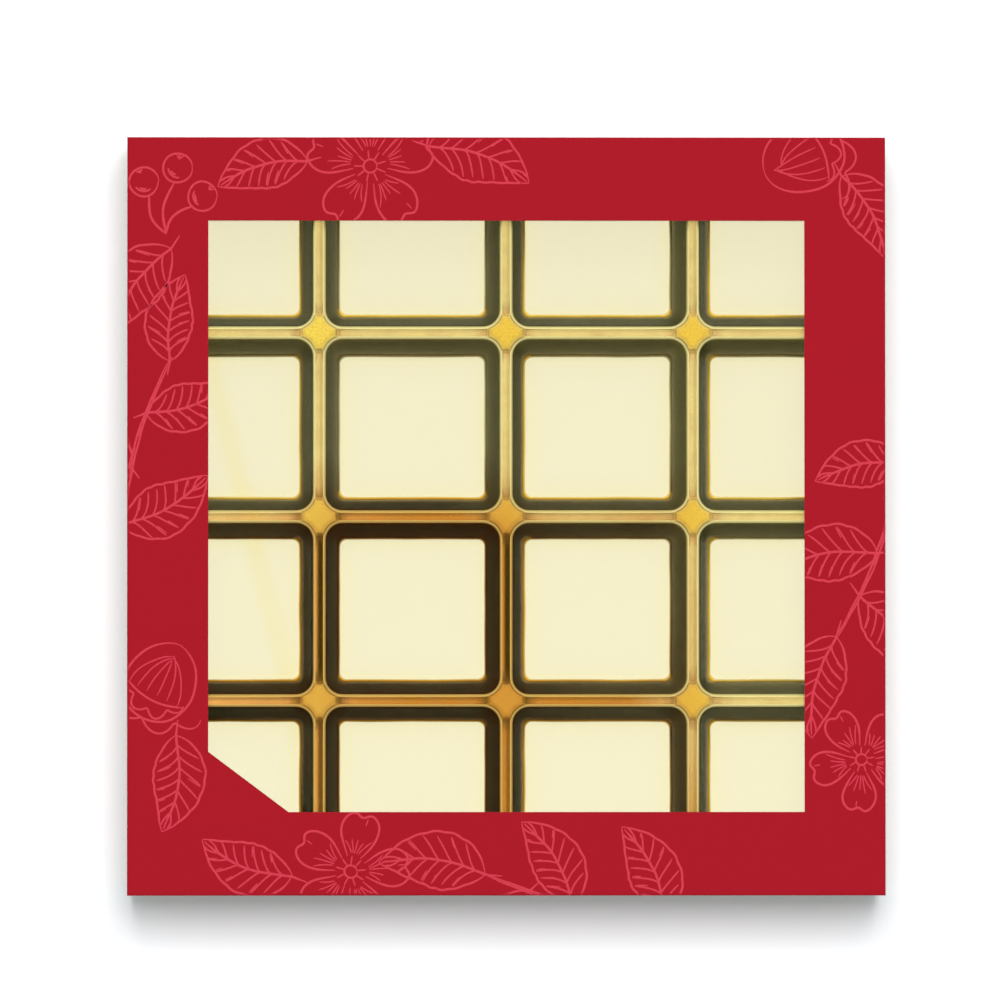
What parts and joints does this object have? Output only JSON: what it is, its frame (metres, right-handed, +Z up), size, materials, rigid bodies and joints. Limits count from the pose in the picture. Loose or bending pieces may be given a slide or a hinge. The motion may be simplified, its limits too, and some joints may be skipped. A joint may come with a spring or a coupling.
{
  "type": "chocolate box",
  "caption": "Square two-piece carton box: a red lid with a clear film window and one cut corner, over a base that holds a gold formed tray of square cavities.",
  "frame": {"origin": "middle of the underside of the base", "axes": "+Z up, +X to the right and +Y to the back, with the window's cut corner at the front left"},
  "size_m": [0.156, 0.156, 0.0255],
  "materials": {
    "base_board": "matt gold-tan outside, white inside",
    "glue": "dried white glue",
    "gold_sheet": "metallised gold, glossy",
    "red_board": "matt laminated print",
    "clear_film": "clear glossy film"
  },
  "bodies": {
    "base": {"base_carton": "base_board", "base_corner_glue": "glue"},
    "tray": {"cavity_tray": "gold_sheet"},
    "lid": {"lid_carton": "red_board", "lid_corner_glue": "glue", "film_glue_frame": "glue", "window_film": "clear_film"}
  },
  "joints": [
    {"name": "tray_lift", "type": "slide", "parent": "base", "child": "tray", "axis": [0, 0, 1], "range_m": [0, 0.045]},
    {"name": "lid_lift", "type": "slide", "parent": "tray", "child": "lid", "axis": [0, 0, 1], "range_m": [0, 0.06]}
  ]
}
